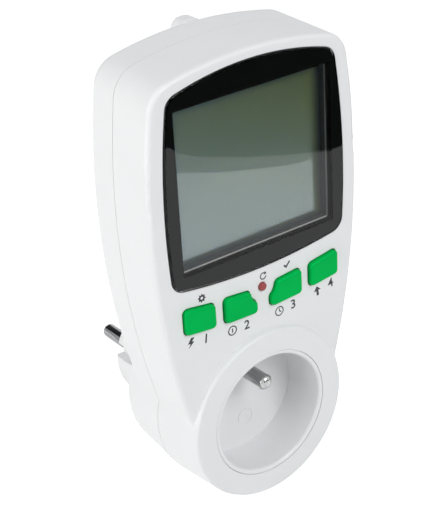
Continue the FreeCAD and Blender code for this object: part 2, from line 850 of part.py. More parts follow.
for side, way in sides:
    contact_copy = contact.copy()
    contact_copy.translate(vec(way * pin_x, 0, 0))
    nodes[f"socket_contact_{side}"] = contact_copy
    strap_copy = pin_strap.copy()
    strap_copy.translate(vec(way * pin_x, 0, 0))
    nodes[f"pin_strap_{side}"] = strap_copy


# Plug pins, earth pin, bracket and sleeve

# Each pin is thicker where it stands free than in what holds it, with a short neck between
for side, way in sides:
    x = way * pin_x
    shoulder_y = strap_y + metal
    pin = rod(x, 0, plug_pin_r, plug_face_y + pin_neck, plug_tip_y)
    pin = pin.makeFillet(plug_tip_r, edges_at(pin, plug_tip_y))
    shank = rod(x, 0, pin_shank_r, shoulder_y, plug_face_y + pin_neck + root)
    tail = rod(x, 0, pin_tail_r, strap_y - rivet_head / 2, shoulder_y + root)
    head = rod(x, 0, rivet_r, strap_y - rivet_head, strap_y)
    nodes[f"plug_pin_{side}"] = union([pin, shank, tail, head])

earth_tip_y = recess_depth - earth_pin_length
earth = rod(0, earth_z, earth_pin_r, earth_tip_y, recess_depth - pin_neck)
earth = earth.makeFillet(earth_tip_r, edges_at(earth, earth_tip_y))
shank = rod(0, earth_z, pin_shank_r, recess_depth - pin_neck - root, carrier_tail_y)
collar = rod(0, earth_z, earth_pin_r + earth_collar, floor_back_y, floor_back_y + earth_collar_length)
tail = rod(0, earth_z, pin_tail_r, carrier_tail_y - root, bracket_y + metal)
step = rod(0, earth_z, pin_tail_r + earth_tail_step, carrier_tail_y - root, bracket_y)
nodes["socket_earth_pin"] = union([earth, shank, collar, tail, step])

bow = (bracket_y + metal + bracket_end_y) / 2


def clip_face():
    """One side clip in the plane x = 0: a strip that bows outwards, closed by a lead-in."""
    inner = Part.Arc(
        vec(0, bracket_y, bracket_arm_z), vec(0, bow, bracket_bow_z - metal),
        vec(0, bracket_end_y, bracket_arm_z),
    )
    outer = Part.Arc(
        vec(0, bracket_end_y, bracket_arm_z + metal), vec(0, bow, bracket_bow_z),
        vec(0, bracket_y, bracket_arm_z + metal),
    )
    tip = Part.LineSegment(inner.EndPoint, outer.StartPoint)
    foot = Part.LineSegment(outer.EndPoint, inner.StartPoint)
    return Part.Face(Part.Wire([e.toShape() for e in (inner, tip, outer, foot)]))


clip = clip_face().extrude(vec(2 * bracket_half_width, 0, 0))
clip.translate(vec(-bracket_half_width, 0, 0))
bridge = block(
    -bracket_half_width, bracket_half_width, bracket_y, bracket_y + metal,
    -bracket_arm_z - metal / 2, bracket_arm_z + metal / 2,
)
lower_clip = clip.mirror(vec(0, 0, 0), vec(0, 0, 1))
bracket = union([bridge, clip, lower_clip])
rivet_hole = rod(0, earth_z, pin_tail_r + skin, bracket_y - over, bracket_y + metal + over)
nodes["earth_bracket"] = bracket.cut(rivet_hole)

sleeve = tube(0, earth_z, sleeve_r, sleeve_bore_r, bracket_y + metal, sleeve_end_y)
slit_y0 = bracket_y + metal + slit_start
slit_y1 = sleeve_end_y - slit_end
slit = block(-slit_half, slit_half, slit_y0, slit_y1, earth_z, earth_z + sleeve_r + over)
nodes["earth_sleeve"] = sleeve.cut(slit)


# Plug body

plug_flange_y = drum_wall_y - skin - plug_flange
plug = rod(0, 0, plug_r, plug_flange_y, plug_face_y)
plug = plug.makeFillet(plug_edge_r, edges_at(plug, plug_face_y))
plug = plug.fuse(rod(0, 0, plug_flange_r, plug_flange_y, plug_flange_y + plug_flange))
flange_end_y = plug_flange_y + plug_flange
plug = plug.cut(rod(0, 0, plug_cavity_r, plug_flange_y - over, plug_face_y - plug_face_wall))
towers = [rod(s * pin_x, 0, pin_shank_r + tower_wall, tower_y, plug_face_y - over) for s in (1, -1)]
towers.append(rod(0, earth_z, sleeve_r + tower_wall, tower_y, plug_face_y - over))
inside = rod(0, 0, plug_r - over, plug_flange_y, plug_face_y - plug_face_wall / 2)
plug = plug.fuse([t.common(inside) for t in towers])
cuts = [rod(s * pin_x, 0, pin_shank_r + skin, plug_flange_y, plug_face_y + over) for s in (1, -1)]
cuts.append(rod(0, earth_z, sleeve_r + skin, plug_flange_y, sleeve_end_y))
cuts.append(rod(0, earth_z, sleeve_mouth_r, plug_flange_y, plug_face_y + over))
slot = bracket_half_width + clip_gap
web_r = plug_r - clip_web
cuts.append(block(-slot, slot, plug_flange_y - over, bracket_y + metal + skin, -web_r, web_r))
for s in (1, -1):
    x0, x1 = sorted((s * (plug_r - groove_depth), s * (plug_r + over)))
    groove_end_z = (groove_z - groove_width / 2, groove_z + groove_width / 2)
    cuts.append(block(x0, x1, drum_back_y, plug_face_y + over, *groove_end_z))
    z0, z1 = sorted((s * pocket_floor_z, s * (plug_r + over)))
    cuts.append(block(-slot, slot, drum_back_y + clip_web, bracket_end_y + clip_end_gap, z0, z1))
    z0, z1 = sorted((s * pocket_floor_z, s * (web_r if s > 0 else plug_r + over)))
    cuts.append(block(-slot, slot, bracket_y - skin, drum_back_y + over, z0, z1))
    x0, x1 = s * pin_x - strap_slot_half, s * pin_x + strap_slot_half
    slot_z = (strap_foot_z - post_gap, plug_flange_r + over)
    cuts.append(block(x0, x1, plug_flange_y - over, flange_end_y - skin, *slot_z))
for x, z in drum_screws:
    notch = rod(x, z, screw_sink_r + tube_wall + hole_gap, plug_flange_y - over, flange_end_y + over)
    cuts.append(notch.cut(rod(0, 0, plug_r + post_gap, plug_flange_y - 2 * over, flange_end_y + 2 * over)))
nodes["plug_body"] = plug.cut(cuts).removeSplitter()


# Rear shell

back_body = housing_slice(0, rear_start_y, back_y)
back_body = back_body.makeFillet(back_edge_r, edges_at(back_body, back_y))
back_drum = drum_rear(0, rear_start_y, drum_back_y)
back_drum = back_drum.makeFillet(drum_back_edge_r, edges_at(back_drum, drum_back_y))
foot_top = housing["top_z"] + top_rise + foot_rise
foot_y0, foot_y1 = back_y - foot_start, back_y + foot_reach
foot = block(-foot_half_width, foot_half_width, foot_y0, foot_y1, foot_top - foot_height, foot_top)
foot = foot.makeFillet(foot_crown_r, [e for e in edges_along(foot, 1) if e.BoundBox.ZMin > foot_top - skin])
foot = foot.makeFillet(foot_end_r, edges_at(foot, foot_y1))
rear = back_body.fuse([back_drum, foot])

rear_cavity = housing_slice(wall, rear_start_y - over, back_y - wall)
rear = rear.cut(rear_cavity.fuse(drum_rear(-wall, rear_start_y - over, drum_wall_y)))
lip_y = seam_y - lip_depth
lip = housing_slice(wall / 2 + lip_slip, lip_y, rear_start_y + over)
lip = lip.fuse(drum_front(-wall / 2 - lip_slip, lip_y, rear_start_y + over))
lip_core = housing_slice(wall, lip_y - over, rear_start_y + 2 * over)
lip = lip.cut(lip_core.fuse(drum_front(-wall, lip_y - over, rear_start_y + 2 * over)))
lip = lip.cut([rod(x, z, post_r + post_gap, lip_y - over, rear_start_y) for x, z in body_screws])
rear = rear.fuse(lip)

rear_posts = []
rear_cuts = [rod(0, 0, plug_r + slip, drum_wall_y - over, drum_back_y + over)]
rear_room = housing_slice(wall / 2, rear_start_y, back_y - root)
rear_room = rear_room.fuse(drum_rear(-wall / 2, rear_start_y, drum_back_y - root))
seats = [(x, z, rear_start_y, screw_seat_y, back_y) for x, z in body_screws]
seats += [(x, z, drum_post_end_y + skin, drum_seat_y, drum_back_y) for x, z in drum_screws]
for x, z, start_y, seat_y, outside_y in seats:
    post = rod(x, z, screw_sink_r + tube_wall, start_y, outside_y - wall / 2)
    rear_posts.append(post.common(rear_room))
    rear_cuts.append(rod(x, z, screw_sink_r, seat_y, outside_y + over))
    rear_cuts.append(rod(x, z, screw_shank_r + screw_pass, start_y - over, seat_y + over))
power_posts = [(s * power_post_x, z) for s in (1, -1) for z in power_post_z]
for x, z in power_posts:
    rear_posts.append(rod(x, z, power_post_r, power_back_y, back_y - wall / 2))
    rear_cuts.append(rod(x, z, board_screw_r + screw_pilot, power_back_y - over, back_y - wall + root))
rear = rear.fuse(rear_posts).cut(rear_cuts)
nodes["rear_shell"] = rear.removeSplitter()

housing_screws = []
for x, z, start_y, seat_y, outside_y in seats:
    head_y = seat_y + screw_head
    housing_screws.append(screw(x, z, head_y, head_y - screw_length, screw_head_r, screw_head, screw_shank_r))
nodes["housing_screws"] = Part.makeCompound(housing_screws)


# Power board; the straps run through slots in its lower edge

power_board = board(power_inset, power_y, power_back_y, power_z0, power_z1)
power_cuts = [
    rod(x, z, board_screw_r + hole_gap, power_y - over, power_back_y + over) for x, z in power_posts
]
strap_slot = half + hole_gap
for s in (1, -1):
    x0, x1 = s * pin_x - strap_slot, s * pin_x + strap_slot
    power_cuts.append(block(x0, x1, power_y - over, power_back_y + over, power_z0 - over, power_z0 + root))
nodes["power_board"] = power_board.cut(power_cuts)
nodes["power_board_screws"] = Part.makeCompound([
    screw(x, z, power_y - board_head, back_y - wall, board_head_r, board_head, board_screw_r)
    for x, z in power_posts
])


# Components on the power board's front

def along_x(r, length, x, y, z):
    """Cylinder along x."""
    return Part.makeCylinder(r, length, vec(x, y, z), vec(1, 0, 0))


film_x, film_z, film_wide, film_high, film_deep = film_case
nodes["film_capacitor"] = block(
    film_x - film_wide / 2, film_x + film_wide / 2, power_y - film_deep, power_y,
    film_z - film_high / 2, film_z + film_high / 2,
)

can_x, can_z, can_r, can_deep = can_case
can = turned([
    (0, power_y - can_deep), (can_r - can_bead, power_y - can_deep), (can_r, power_y - can_deep + can_bead),
    (can_r, power_y - can_bead_y - can_bead), (can_r - can_bead, power_y - can_bead_y),
    (can_r, power_y - can_bead_y + can_bead), (can_r, power_y), (0, power_y),
])
can.translate(vec(can_x, 0, can_z))
nodes["electrolytic_capacitor"] = can

disc_x, disc_z, disc_r, disc_thick = disc_case
disc_y = power_y - disc_r - disc_stand_off
disc = along_x(disc_r, disc_thick, disc_x - disc_thick / 2, disc_y, disc_z)
disc = disc.makeChamfer(disc_edge, [e for e in disc.Edges if len(e.Vertexes) == 1])
disc_leads = [
    rod(disc_x, disc_z + s * disc_lead_half, component_lead_r, disc_y, power_y) for s in (1, -1)
]
nodes["varistor"] = union([disc] + disc_leads)

barrel_x, barrel_z, barrel_r, barrel_length = barrel_case
barrel_y = power_y - barrel_r - component_lead_r
lead_length = barrel_length + 2 * barrel_lead
barrel = along_x(barrel_r, barrel_length, barrel_x - barrel_length / 2, barrel_y, barrel_z)
lead = along_x(component_lead_r, lead_length, barrel_x - lead_length / 2, barrel_y, barrel_z)
lead_ends = [
    rod(barrel_x + s * lead_length / 2, barrel_z, component_lead_r, barrel_y, power_y) for s in (1, -1)
]
nodes["fuse_resistor"] = union([barrel, lead] + lead_ends)

shunt_y = power_y - centre
shunt_crown_y = shunt_y - shunt_deep
shunt = strip([
    (shunt_y, shunt_z - shunt_half), (shunt_y, shunt_z - shunt_foot), (shunt_crown_y, shunt_z - shunt_rise),
    (shunt_crown_y, shunt_z + shunt_rise), (shunt_y, shunt_z + shunt_foot), (shunt_y, shunt_z + shunt_half),
], metal, shunt_x - half / 2, shunt_x + half / 2)
nodes["shunt"] = shunt


# Chips, crystal, battery and the cable between the boards

def chip(case, legs, front_y, way):
    """Flat chip with legs along its two long sides; way is -1 on a board's front and 1 on its back."""
    x, z, wide, high, thick = case
    y0, y1 = sorted((front_y + way * chip_stand_off, front_y + way * (chip_stand_off + thick)))
    feet = [block(x - wide / 2, x + wide / 2, y0, y1, z - high / 2, z + high / 2)]
    pitch = wide / (legs + 0.5)
    leg_z = high / 2 + chip_leg
    y0, y1 = sorted((front_y, front_y + way * chip_leg_rise))
    for i in range(legs):
        leg_x = x + (i - (legs - 1) / 2) * pitch
        feet.append(block(leg_x - chip_leg_half, leg_x + chip_leg_half, y0, y1, z - leg_z, z + leg_z))
    return union(feet)


nodes["metering_chip"] = chip(metering_case, metering_legs, power_y, -1)
nodes["driver_chip"] = chip(driver_case, driver_legs, board_back_y, 1)

crystal_x, crystal_z, crystal_wide, crystal_high, crystal_thick = crystal_case
nodes["crystal"] = rounded_block(
    crystal_x - crystal_wide / 2, crystal_x + crystal_wide / 2, board_back_y, board_back_y + crystal_thick,
    crystal_z - crystal_high / 2, crystal_z + crystal_high / 2, crystal_high * 0.45,
)

battery_y = board_back_y + cell_r + skin
battery_length = cell_count * cell_length + (cell_count - 1) * cell_gap
battery_x0 = battery_x - battery_length / 2
stack = [along_x(cell_r - cell_step, battery_length, battery_x0, battery_y, battery_z)]
for i in range(cell_count):
    cell_x0 = battery_x0 + i * (cell_length + cell_gap)
    stack.append(along_x(cell_r, cell_length, cell_x0, battery_y, battery_z))
nodes["backup_battery"] = union(stack)

cable_y0 = board_back_y + cable_stand_off
cable_y1 = power_y - cable_stand_off
cable_x0, cable_x1 = cable_x - cable_width / 2, cable_x + cable_width / 2
cable = strip([
    (cable_y0, cable_z), (cable_y0, cable_z + cable_rise),
    ((cable_y0 + cable_y1) / 2, cable_z + cable_rise + cable_bow),
    (cable_y1, cable_z + cable_rise), (cable_y1, cable_z),
], cable_thickness, cable_x0, cable_x1, cable_bend_r)
header_z = (cable_z - header_high / 2, cable_z + header_high / 2)
headers = [
    block(cable_x0 - header_side, cable_x1 + header_side, y0, y0 + header_deep, *header_z)
    for y0 in (board_back_y, power_y - header_deep)
]
nodes["ribbon_cable"] = union([cable] + headers)


os.makedirs("parts", exist_ok=True)
for name, shape in sorted(nodes.items()):
    shape.exportStep(f"parts/{name}.step")
    print(f"{name:26s} solids {len(shape.Solids)} valid {shape.isValid()} volume {shape.Volume:9.1f}")
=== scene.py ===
import bmesh
import bpy
import json
import math
from mathutils import Matrix, Vector


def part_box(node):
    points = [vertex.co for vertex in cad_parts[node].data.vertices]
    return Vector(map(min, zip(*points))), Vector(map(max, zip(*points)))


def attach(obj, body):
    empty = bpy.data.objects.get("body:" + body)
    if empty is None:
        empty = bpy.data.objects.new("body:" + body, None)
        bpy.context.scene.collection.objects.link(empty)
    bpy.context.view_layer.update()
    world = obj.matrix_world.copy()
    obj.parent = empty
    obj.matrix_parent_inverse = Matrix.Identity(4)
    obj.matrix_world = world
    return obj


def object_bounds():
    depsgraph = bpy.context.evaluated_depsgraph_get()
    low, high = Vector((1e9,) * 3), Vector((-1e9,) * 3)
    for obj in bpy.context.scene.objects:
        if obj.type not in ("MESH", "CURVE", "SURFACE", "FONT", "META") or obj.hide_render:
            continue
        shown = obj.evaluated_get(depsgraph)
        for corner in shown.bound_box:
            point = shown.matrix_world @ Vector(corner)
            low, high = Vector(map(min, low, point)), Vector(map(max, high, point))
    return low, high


# Plug-in energy meter: the finish of every piece, the printed marks on the front, the studio
# and the camera. Metres; x runs right seen from the front, y back to the wall, z up.

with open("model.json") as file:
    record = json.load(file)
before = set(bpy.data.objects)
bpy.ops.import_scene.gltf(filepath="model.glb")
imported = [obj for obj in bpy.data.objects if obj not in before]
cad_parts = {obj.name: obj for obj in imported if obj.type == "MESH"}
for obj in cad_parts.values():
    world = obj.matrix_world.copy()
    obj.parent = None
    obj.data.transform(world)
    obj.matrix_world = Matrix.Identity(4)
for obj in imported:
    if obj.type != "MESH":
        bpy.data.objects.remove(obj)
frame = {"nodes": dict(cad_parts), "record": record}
cad_low, cad_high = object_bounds()
nodes = frame["nodes"]

MM = 0.001

# Camera: focal length in pixels of the 434 by 515 photograph, and where it stands
image_width = 434
image_height = 515
focal_pixels = 1428.0
principal_x = 218.47
principal_y = 256.96
camera_place = (-0.22494, -0.29125, 0.24579)
camera_turn = (62.537, 3.050, -37.192)
sensor = 36.0
clip_near = 0.01
clip_far = 20.0

# Front face, and the printed marks on it: places as x and z
lens_proud = 0.35 * MM
face_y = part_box("display_lens")[0].y + lens_proud
print_thickness = 0.03 * MM
print_sink = 0.004 * MM
outer_mark = (23.9 * MM, 34.5 * MM)
inner_mark = (8.9 * MM, 33.0 * MM)
mark_step = 2.7 * MM
picture_scale = 1.42 * MM
small_picture_scale = 1.2 * MM
numeral_size = 4.2 * MM
numeral_weight = 0.07 * MM
outer_slant = math.radians(7.6)
inner_slant = math.radians(2.5)
settings_mark = (-21.8 * MM, 47.9 * MM)
restart_mark = (0.6 * MM, 46.9 * MM)
accept_mark = (9.7 * MM, 47.3 * MM)

# Window in the lens border, the pale line at its step, the painted shade inside it on the display,
# and the gloss film over the border
window_half_width = 26.8 * MM
window_low = 57.4 * MM
window_high = 105.8 * MM
edge_line_depth = 0.6 * MM
edge_line_width = 0.4 * MM
edge_line_inset = 0.06 * MM
edge_shade_reach = 3.4 * MM
film_tilt = (math.radians(-1.1), 0.0, math.radians(1.3))
gloss_margin = 0.9 * MM
gloss_inset = 0.55 * MM
gloss_proud = 0.02 * MM
gloss_sink = 0.01 * MM

# Floor
floor_gap = 0.4 * MM
floor_half = 3.0
floor_tone = 0.80
floor_glow = 0.60

# Dark card on the floor and dark upright panels, which only reflections see. The card's near edge
# is bowed. A panel has a name, its lower left and upper right corner in x and z, and its y.
card_edge = (
    (0.137, -0.247), (0.136, -0.237), (0.141, -0.227), (0.158, -0.210),
    (0.178, -0.196), (0.190, -0.190), (0.199, -0.190),
)
card_reach = 2.5
card_lift = 0.2 * MM
card_tone = 0.004
panel_tone = 0.05
dark_panels = (
    ("dark_screen", (-0.36, 0.17), (0.33, 0.95), 0.6),
    ("left_flag", (-0.34, -0.02), (-0.11, 0.6), -0.95),
    ("right_flag", (0.41, -0.02), (0.62, 0.6), -0.95),
)

# Light from all round, and the soft boxes: name, place, side, power and colour
sky_colour = (0.97, 0.985, 1.0, 1.0)
sky_strength = 0.32
soft_boxes = (
    ("key_lamp", (-0.84, 0.10, 0.30), 0.70, 4.8, (1.0, 0.99, 0.975)),
    ("front_lamp", (0.15, -0.72, 0.62), 0.50, 4.65, (0.99, 0.995, 1.0)),
    ("back_lamp", (0.25, 0.95, 0.45), 0.50, 1.8, (1.0, 1.0, 1.0)),
)

# Most of a noise lies in its full span, and a narrower span gives patches with firmer edges
full_span = (0.3, 0.7)
middle_span = (0.35, 0.65)
narrow_span = (0.4, 0.6)


def srgb(red, green, blue):
    """Linear colour of an 8-bit one."""
    def linear(value):
        value /= 255.0
        return value / 12.92 if value <= 0.04045 else ((value + 0.055) / 1.055) ** 2.4
    return (linear(red), linear(green), linear(blue), 1.0)


def shade(colour, factor):
    return tuple(min(c * factor, 1.0) for c in colour[:3]) + (1.0,)


# Node building

def new_material(name):
    material = bpy.data.materials.new(name)
    material.use_nodes = True
    tree = material.node_tree
    tree.nodes.clear()
    output = tree.nodes.new("ShaderNodeOutputMaterial")
    shader = tree.nodes.new("ShaderNodeBsdfPrincipled")
    tree.links.new(shader.outputs["BSDF"], output.inputs["Surface"])
    return material, tree, shader


def place(tree, stretch=(1.0, 1.0, 1.0)):
    """Object coordinates in metres, stretched by a factor along each axis."""
    coordinates = tree.nodes.new("ShaderNodeTexCoord")
    mapping = tree.nodes.new("ShaderNodeMapping")
    mapping.inputs["Scale"].default_value = stretch
    tree.links.new(coordinates.outputs["Object"], mapping.inputs["Vector"])
    return mapping.outputs["Vector"]


def noise(tree, size, detail=2.0, stretch=(1.0, 1.0, 1.0)):
    """Noise whose features are about that size, in metres."""
    texture = tree.nodes.new("ShaderNodeTexNoise")
    texture.inputs["Scale"].default_value = 1.0 / size
    texture.inputs["Detail"].default_value = detail
    tree.links.new(place(tree, stretch), texture.inputs["Vector"])
    return texture.outputs["Fac"]


def spread(tree, value, span, low, high):
    """Maps a value's span to low..high."""
    node = tree.nodes.new("ShaderNodeMapRange")
    node.inputs["From Min"].default_value = span[0]
    node.inputs["From Max"].default_value = span[1]
    node.inputs["To Min"].default_value = low
    node.inputs["To Max"].default_value = high
    tree.links.new(value, node.inputs["Value"])
    return node.outputs["Result"]


def calculate(tree, operation, first, second=None):
    """One step of arithmetic on an output, with another output or a plain number."""
    node = tree.nodes.new("ShaderNodeMath")
    node.operation = operation
    tree.links.new(first, node.inputs[0])
    if isinstance(second, float):
        node.inputs[1].default_value = second
    elif second is not None:
        tree.links.new(second, node.inputs[1])
    return node.outputs["Value"]


def blend_colours(tree, factor, first, second):
    """Mixes two colours; the first may be another node's output."""
    node = tree.nodes.new("ShaderNodeMix")
    node.data_type = "RGBA"
    if isinstance(first, bpy.types.NodeSocket):
        tree.links.new(first, node.inputs["A"])
    else:
        node.inputs["A"].default_value = first
    node.inputs["B"].default_value = second
    tree.links.new(factor, node.inputs["Factor"])
    return node.outputs["Result"]


def raise_surface(tree, shader, height, depth):
    node = tree.nodes.new("ShaderNodeBump")
    node.inputs["Strength"].default_value = 1.0
    node.inputs["Distance"].default_value = depth
    tree.links.new(height, node.inputs["Height"])
    tree.links.new(node.outputs["Normal"], shader.inputs["Normal"])


def moulded(
    name, colour, roughness, grain=0.35 * MM, depth=0.004 * MM, mottle=0.02, level=0.5,
    metallic=0.0, patch=14 * MM, unevenness=0.05,
):
    """Moulded or painted surface with a fine grain, a slight mottle and uneven gloss."""
    material, tree, shader = new_material(name)
    broad = spread(tree, noise(tree, patch), middle_span, 0.0, 1.0)
    tone = blend_colours(tree, broad, shade(colour, 1 - mottle), shade(colour, 1 + mottle))
    tree.links.new(tone, shader.inputs["Base Color"])
    fine = noise(tree, grain, detail=4.0)
    gloss = spread(tree, fine, full_span, roughness - unevenness, roughness + unevenness)
    tree.links.new(gloss, shader.inputs["Roughness"])
    shader.inputs["Specular IOR Level"].default_value = level
    shader.inputs["Metallic"].default_value = metallic
    raise_surface(tree, shader, fine, depth)
    return material


def drawn_metal(
    name, colour, roughness, along=(1.0, 1.0, 1.0), streak=0.12 * MM, patch=3 * MM,
    tarnish=0.08, depth=0.0015 * MM, smoothest=0.7, roughest=1.4,
):
    """Plated or drawn metal: fine streaks, and a tarnish in patches drawn out the same way."""
    material, tree, shader = new_material(name)
    patches = spread(tree, noise(tree, patch, detail=3.0, stretch=along), narrow_span, 0.0, 1.0)
    tone = blend_colours(tree, patches, colour, shade(colour, 1 - tarnish))
    tree.links.new(tone, shader.inputs["Base Color"])
    streaks = noise(tree, streak, detail=3.0, stretch=along)
    gloss = spread(tree, streaks, full_span, roughness * smoothest, roughness * roughest)
    tree.links.new(gloss, shader.inputs["Roughness"])
    shader.inputs["Metallic"].default_value = 1.0
    raise_surface(tree, shader, streaks, depth)
    return material


def circuit_board(name):
    """Green solder mask with copper tracks that show through it."""
    material, tree, shader = new_material(name)
    tracks = tree.nodes.new("ShaderNodeTexBrick")
    tracks.inputs["Scale"].default_value = 1.0
    tracks.inputs["Brick Width"].default_value = 5 * MM
    tracks.inputs["Row Height"].default_value = 1.6 * MM
    tracks.inputs["Mortar Size"].default_value = 0.3 * MM
    tracks.inputs["Color1"].default_value = srgb(22, 92, 52)
    tracks.inputs["Color2"].default_value = srgb(18, 78, 46)
    tracks.inputs["Mortar"].default_value = srgb(60, 130, 70)
    turn = tree.nodes.new("ShaderNodeMapping")
    turn.inputs["Rotation"].default_value = (math.radians(90), 0.0, 0.0)
    tree.links.new(place(tree), turn.inputs["Vector"])
    tree.links.new(turn.outputs["Vector"], tracks.inputs["Vector"])
    tree.links.new(tracks.outputs["Color"], shader.inputs["Base Color"])
    gloss = spread(tree, noise(tree, 0.8 * MM), full_span, 0.28, 0.42)
    tree.links.new(gloss, shader.inputs["Roughness"])
    raise_surface(tree, shader, tracks.outputs["Fac"], 0.02 * MM)
    return material


def clear_lens(name):
    """Clear moulded window with a faint, uneven tint."""
    material, tree, shader = new_material(name)
    haze = spread(tree, noise(tree, 9 * MM), full_span, 0.0, 1.0)
    tone = blend_colours(tree, haze, (0.97, 0.985, 0.975, 1.0), (0.955, 0.975, 0.965, 1.0))
    tree.links.new(tone, shader.inputs["Base Color"])
    shader.inputs["Roughness"].default_value = 0.0
    shader.inputs["Transmission Weight"].default_value = 1.0
    shader.inputs["IOR"].default_value = 1.28
    return material


def gloss_black(name):
    """Black gloss with a faint unevenness in its polish."""
    material, tree, shader = new_material(name)
    broad = spread(tree, noise(tree, 12 * MM), full_span, 0.0, 1.0)
    darker = (0.0034, 0.0040, 0.0038, 1.0)
    tone = blend_colours(tree, broad, darker, (0.0044, 0.0052, 0.0048, 1.0))
    tree.links.new(tone, shader.inputs["Base Color"])
    gloss = spread(tree, broad, (0.0, 1.0), 0.008, 0.02)
    tree.links.new(gloss, shader.inputs["Roughness"])
    shader.inputs["IOR"].default_value = 1.38
    return material


def window_shade_mask(tree):
    """Mask of the painted shade: 0 in the middle of the window, rising to 1 at its edge."""
    axes = tree.nodes.new("ShaderNodeSeparateXYZ")
    tree.links.new(place(tree), axes.inputs["Vector"])
    half_height = (window_high - window_low) / 2
    across = calculate(tree, "ABSOLUTE", axes.outputs["X"])
    up = calculate(tree, "SUBTRACT", axes.outputs["Z"], window_low + half_height)
    up = calculate(tree, "ABSOLUTE", up)
    side_rim = (window_half_width - edge_shade_reach, window_half_width)
    end_rim = (half_height - edge_shade_reach, half_height)
    beside = spread(tree, across, side_rim, 0.0, 1.0)
    above = spread(tree, up, end_rim, 0.0, 1.0)
    return calculate(tree, "MAXIMUM", beside, above)


def display_face(name):
    """Unlit reflective display: grey-green, with painted shade darkening it towards the window's
    edge, a soft mirror under a glossy film that is tilted a little against it.
    """
    material, tree, shader = new_material(name)
    cloud = spread(tree, noise(tree, 22 * MM), full_span, 0.0, 1.0)
    tone = blend_colours(tree, cloud, (0.106, 0.124, 0.036, 1.0), (0.120, 0.136, 0.044, 1.0))
    # Painted shade: the display's colour darkens to near black towards the window's edge, standing
    # in for the frame's shadow
    shaded = blend_colours(tree, window_shade_mask(tree), tone, (0.016, 0.020, 0.014, 1.0))
    tree.links.new(shaded, shader.inputs["Base Color"])
    fine = noise(tree, 3 * MM, detail=2.0)
    gloss = spread(tree, fine, full_span, 0.28, 0.32)
    tree.links.new(gloss, shader.inputs["Roughness"])
    shader.inputs["IOR"].default_value = 2.5
    shader.inputs["Specular Tint"].default_value = (0.30, 0.52, 0.86, 1.0)
    shader.inputs["Coat Weight"].default_value = 1.0
    shader.inputs["Coat Roughness"].default_value = 0.02
    shader.inputs["Coat IOR"].default_value = 1.75
    raise_surface(tree, shader, fine, 0.0004 * MM)
    tilt = tree.nodes.new("ShaderNodeVectorRotate")
    tilt.rotation_type = "EULER_XYZ"
    tilt.inputs["Rotation"].default_value = film_tilt
    normal = tree.nodes.new("ShaderNodeNewGeometry")
    tree.links.new(normal.outputs["Normal"], tilt.inputs["Vector"])
    tree.links.new(tilt.outputs["Vector"], shader.inputs["Coat Normal"])
    return material


# Materials

white_shell = moulded(
    "white_shell", srgb(233, 234, 235), 0.42, grain=0.22 * MM, depth=0.003 * MM, mottle=0.006,
)
white_insert = moulded(
    "white_insert", srgb(232, 233, 234), 0.36, grain=0.3 * MM, depth=0.002 * MM, mottle=0.006,
)
grey_inner = moulded("grey_inner", srgb(196, 198, 196), 0.5, mottle=0.02)
green_key = moulded(
    "green_key", srgb(0, 180, 80), 0.34, grain=0.3 * MM, depth=0.002 * MM, mottle=0.04, level=0.02,
    metallic=0.14,
)
red_button = moulded(
    "red_button", srgb(156, 74, 74), 0.45, grain=0.25 * MM, depth=0.003 * MM, mottle=0.04,
    level=0.3,
)
black_print = moulded(
    "black_print", (0.0040, 0.0048, 0.0044, 1.0), 0.6, grain=3 * MM, depth=0.001 * MM, mottle=0.1,
    level=0.14,
)
black_gloss = gloss_black("black_gloss")
black_frame = moulded("black_frame", srgb(26, 27, 28), 0.5, grain=0.3 * MM, mottle=0.08)
mark_ink = moulded(
    "mark_ink", srgb(66, 66, 72), 0.6, grain=0.12 * MM, depth=0.002 * MM, mottle=0.12, level=0.3,
)
edge_line = moulded("edge_line", srgb(188, 187, 185), 0.35, mottle=0.05)
# Darker copy of the pale line's finish: painted shade for its upright sides
edge_line_painted_shade = moulded("edge_line_painted_shade", srgb(96, 96, 95), 0.35, mottle=0.05)
lens_clear = clear_lens("lens_clear")
display_front = display_face("display_front")
display_glass = moulded("display_glass", srgb(96, 108, 96), 0.12, mottle=0.05)
silver_film = moulded("silver_film", srgb(176, 182, 172), 0.3, grain=0.08 * MM, metallic=0.7)
foam_grey = moulded(
    "foam_grey", srgb(58, 58, 60), 0.9, grain=0.5 * MM, depth=0.12 * MM, mottle=0.15,
)
elastomer_band = moulded("elastomer_band", srgb(200, 120, 110), 0.6, grain=0.1 * MM, mottle=0.15)
silicone_grey = moulded("silicone_grey", srgb(150, 152, 150), 0.55, mottle=0.04, level=0.4)
carbon_black = moulded("carbon_black", srgb(30, 30, 31), 0.7, grain=0.1 * MM, mottle=0.15)
board_green = circuit_board("board_green")
chip_black = moulded(
    "chip_black", srgb(34, 34, 36), 0.55, grain=0.12 * MM, depth=0.008 * MM, mottle=0.06,
)
film_yellow = moulded("film_yellow", srgb(205, 160, 50), 0.35, mottle=0.05)
varistor_blue = moulded(
    "varistor_blue", srgb(36, 92, 150), 0.4, grain=0.6 * MM, depth=0.02 * MM, mottle=0.08,
)
resistor_teal = moulded(
    "resistor_teal", srgb(60, 130, 120), 0.45, grain=0.4 * MM, depth=0.01 * MM, mottle=0.08,
)
cable_grey = moulded("cable_grey", srgb(170, 172, 176), 0.5, grain=0.25 * MM, mottle=0.04)
can_metal = drawn_metal("can_metal", srgb(190, 192, 194), 0.25)
shunt_metal = drawn_metal("shunt_metal", srgb(176, 150, 120), 0.3)
brass_metal = drawn_metal("brass_metal", srgb(200, 164, 96), 0.25, along=(1.0, 0.1, 1.0))
pin_nickel = drawn_metal(
    "pin_nickel", srgb(172, 173, 176), 0.11, along=(1.0, 0.06, 1.0), patch=0.7 * MM, tarnish=0.5,
)
earth_nickel = drawn_metal(
    "earth_nickel", srgb(186, 186, 186), 0.22, along=(0.1, 1.0, 1.0), tarnish=0.12,
)
